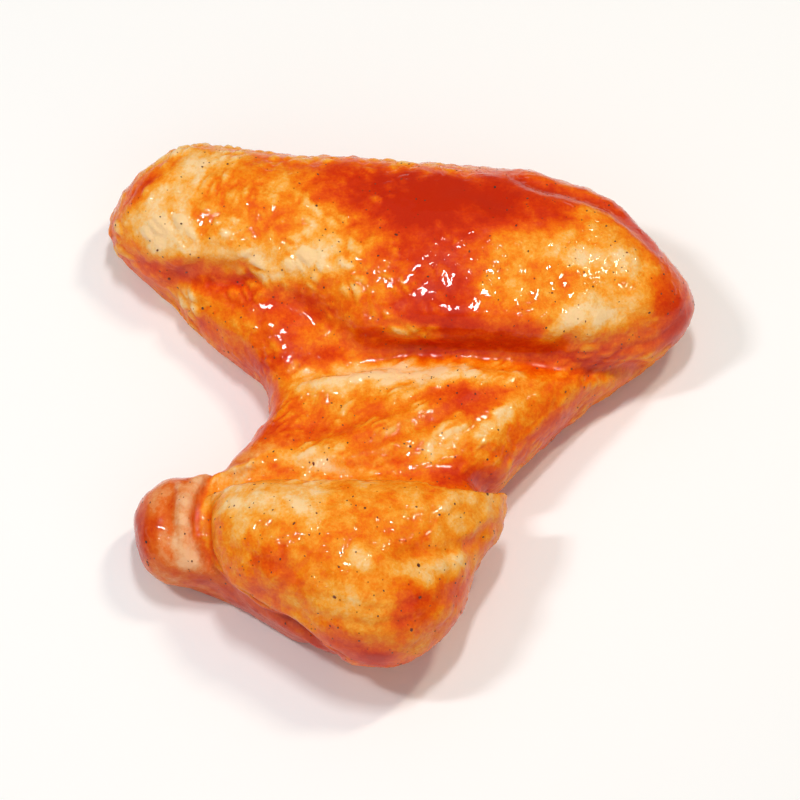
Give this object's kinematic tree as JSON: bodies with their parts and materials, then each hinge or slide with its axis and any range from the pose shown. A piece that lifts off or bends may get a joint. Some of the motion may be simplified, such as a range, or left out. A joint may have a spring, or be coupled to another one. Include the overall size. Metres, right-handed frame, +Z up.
{
  "type": "raw chicken wing",
  "caption": "Raw marinated chicken wing of flat and drumette, folded at the elbow, with a web of skin and cut flesh at the shoulder end. Lies on its inner side.",
  "frame": {"origin": "under the middle of the wing's bounding box, on the level that it rests on", "axes": "+Z up. The flat lies across, along X, with the elbow at +X and the wrist at -X. The drumette comes towards -Y, and the fold is open to -X"},
  "size_m": [0.0954, 0.0928, 0.0264],
  "materials": {
    "marinated_skin": "wet skin and flesh under an orange marinade, glossy"
  },
  "bodies": {
    "root": {"chicken_wing": "marinated_skin"}
  },
  "joints": []
}
